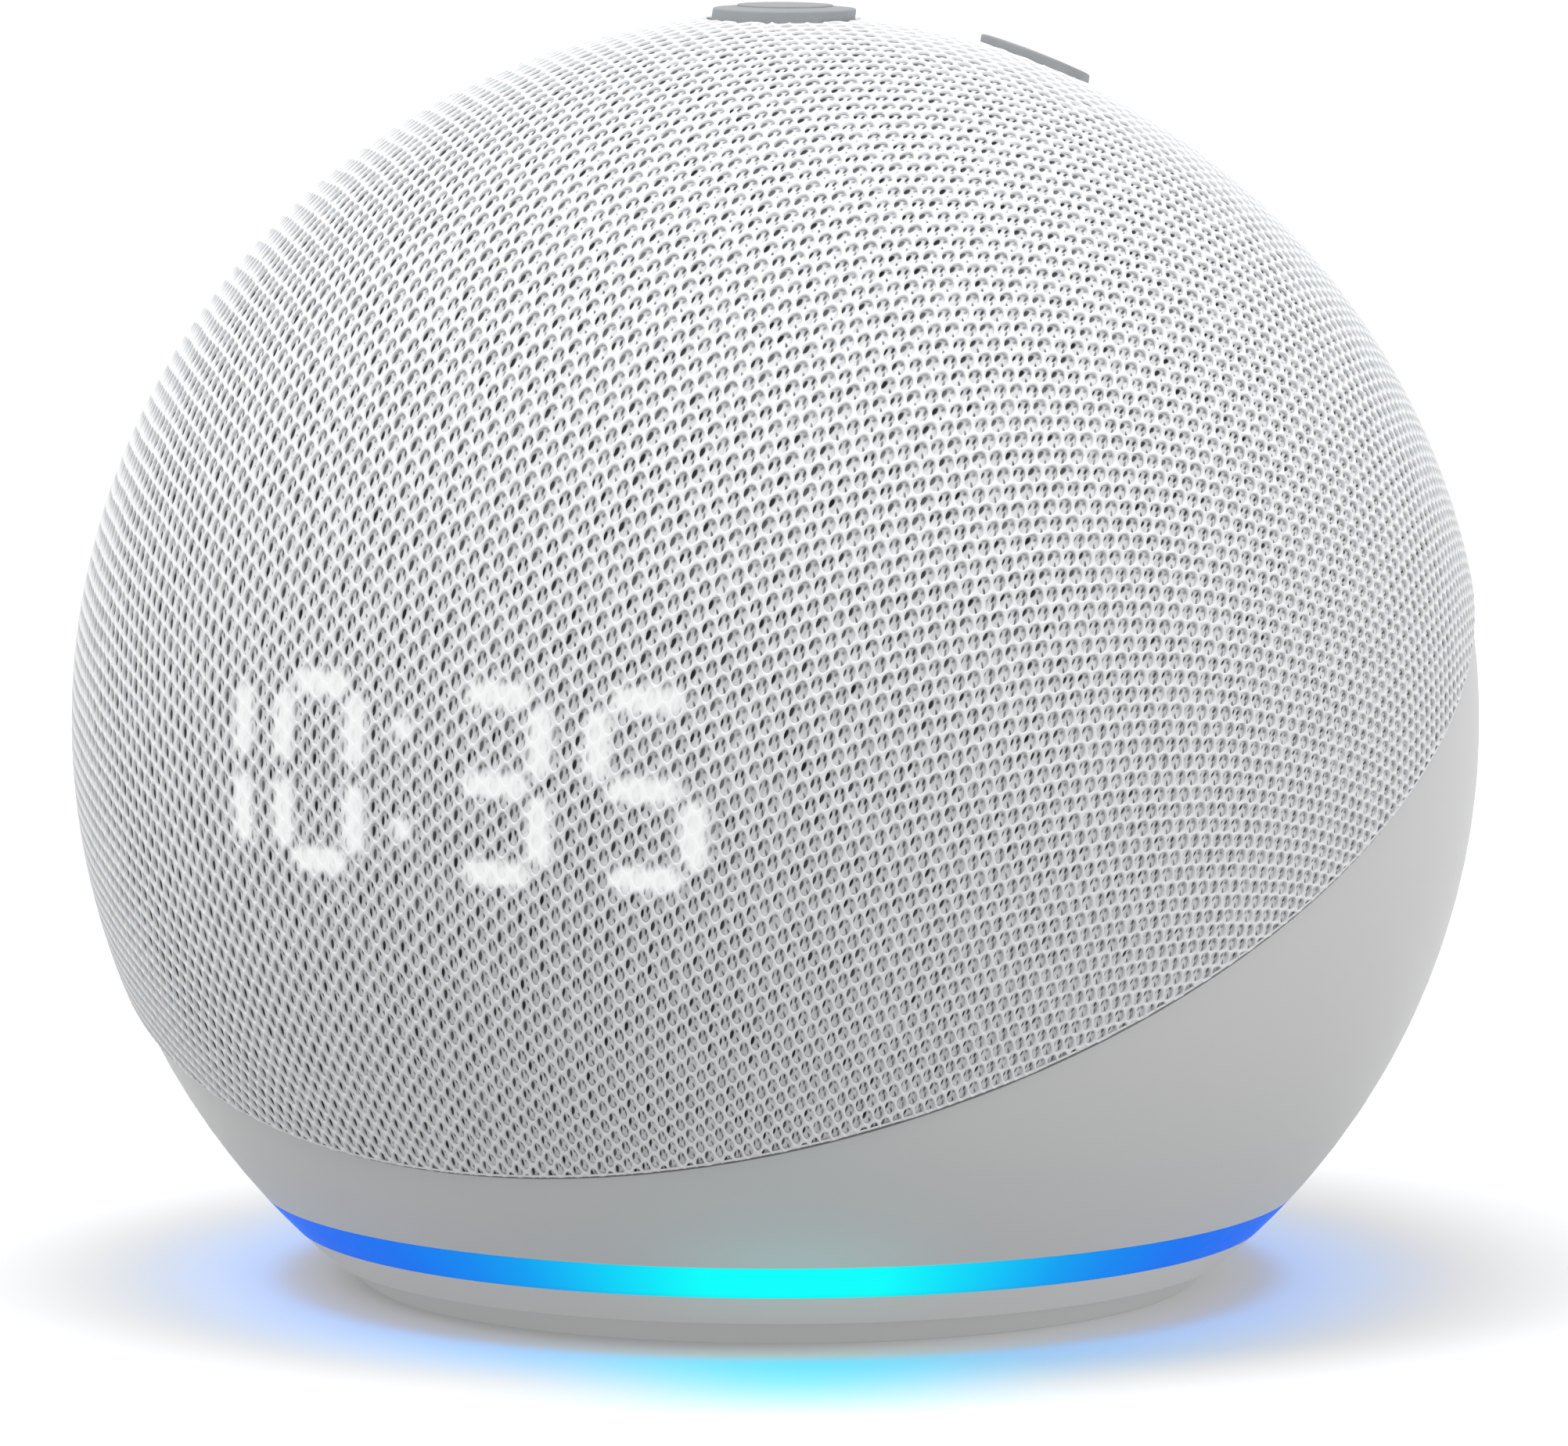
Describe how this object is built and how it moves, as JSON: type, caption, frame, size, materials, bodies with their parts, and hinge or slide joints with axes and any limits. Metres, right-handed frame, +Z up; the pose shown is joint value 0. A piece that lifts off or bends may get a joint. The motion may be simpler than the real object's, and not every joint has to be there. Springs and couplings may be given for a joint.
{
  "type": "smart speaker with clock",
  "caption": "Ball-shaped tabletop smart speaker: cloth grille over the front and top, clock shining through the cloth, glowing ring round the base, sprung keys on top, moulded rear housing.",
  "frame": {"origin": "centre of the foot's underside, on the surface the speaker stands on", "axes": "+Z up; the clock faces -Y; the power and audio sockets open towards +Y; +X is to the right as the clock is read"},
  "size_m": [0.1, 0.0995, 0.0903],
  "materials": {
    "cloth": "woven",
    "housing_plastic": "satin",
    "base_plastic": "satin",
    "grille_plastic": "matte",
    "cup_plastic": "matte",
    "key_plastic": "satin",
    "glow_ring": "diffusing, glowing",
    "lit_segment": "clear, glowing",
    "dark_segment": "clear",
    "mask_plastic": "matte",
    "foot_rubber": "matte",
    "circuit_board": "coated",
    "component_plastic": "matte",
    "connector_plastic": "matte",
    "plunger_plastic": "satin",
    "zinc_steel": "zinc plated",
    "tinned_steel": "tinned",
    "frame_steel": "black",
    "pole_steel": "zinc plated",
    "magnet": "nickel plated",
    "cone_paper": "matte",
    "coil_copper": "enamelled wire",
    "surround_rubber": "satin",
    "spider_cloth": "impregnated",
    "soft_seal": "matte",
    "aluminium": "plain",
    "ferrite": "matte",
    "pin_metal": "plated",
    "diode_white": "clear",
    "flat_cable": "film",
    "lead_sleeve": "satin"
  },
  "bodies": {
    "speaker_body": {"acoustic_cup": "cup_plastic", "amplifier_chip": "component_plastic", "audio_jack": "component_plastic", "base_plate": "base_plastic", "base_screws": "zinc_steel", "board_connectors": "connector_plastic", "board_link": "component_plastic", "capacitors": "aluminium", "clock_board": "circuit_board", "clock_cable": "flat_cable", "clock_diodes": "diode_white", "clock_mask": "mask_plastic", "clock_screws": "zinc_steel", "clock_segments_lit": "lit_segment", "clock_segments_unlit": "dark_segment", "cup_screws": "zinc_steel", "driver_frame": "frame_steel", "driver_gasket": "soft_seal", "driver_magnet": "magnet", "driver_screws": "zinc_steel", "driver_terminals": "component_plastic", "driver_top_plate": "pole_steel", "driver_yoke": "pole_steel", "fabric_cover": "cloth", "grille_dome": "grille_plastic", "heat_spreader": "aluminium", "inductors": "ferrite", "key_switches": "component_plastic", "light_board": "circuit_board", "light_ring": "glow_ring", "main_board": "circuit_board", "main_board_screws": "zinc_steel", "microphone_boots": "soft_seal", "microphones": "component_plastic", "power_jack": "component_plastic", "power_jack_pin": "pin_metal", "processor": "component_plastic", "rear_housing": "housing_plastic", "ring_lights": "diode_white", "rubber_foot": "foot_rubber", "shield_can": "tinned_steel", "speaker_leads": "lead_sleeve", "thermal_pad": "soft_seal", "top_board": "circuit_board", "top_board_screws": "zinc_steel", "top_cable": "flat_cable", "wireless_module": "tinned_steel"},
    "front_key": {"key_front": "key_plastic", "switch_plunger_front": "plunger_plastic"},
    "right_key": {"key_right": "key_plastic", "switch_plunger_right": "plunger_plastic"},
    "left_key": {"key_left": "key_plastic", "switch_plunger_left": "plunger_plastic"},
    "back_key": {"key_back": "key_plastic", "switch_plunger_back": "plunger_plastic"},
    "diaphragm": {"cone": "cone_paper", "dust_cap": "cone_paper", "voice_coil": "coil_copper", "surround": "surround_rubber", "spider": "spider_cloth"}
  },
  "joints": [
    {"name": "front_key_press", "type": "slide", "parent": "speaker_body", "child": "front_key", "axis": [0, 0.2756, 0.9613], "range_m": [-0.0004, 0], "stiffness_N_per_m": 2500},
    {"name": "right_key_press", "type": "slide", "parent": "speaker_body", "child": "right_key", "axis": [0, 0.2756, 0.9613], "range_m": [-0.0004, 0], "stiffness_N_per_m": 2500},
    {"name": "left_key_press", "type": "slide", "parent": "speaker_body", "child": "left_key", "axis": [0, 0.2756, 0.9613], "range_m": [-0.0004, 0], "stiffness_N_per_m": 2500},
    {"name": "back_key_press", "type": "slide", "parent": "speaker_body", "child": "back_key", "axis": [0, 0.2756, 0.9613], "range_m": [-0.0004, 0], "stiffness_N_per_m": 2500},
    {"name": "diaphragm_stroke", "type": "slide", "parent": "speaker_body", "child": "diaphragm", "axis": [0, -0.4909, 0.8712], "range_m": [-0.001, 0.001], "stiffness_N_per_m": 1200, "deforming": ["surround", "spider"]}
  ]
}
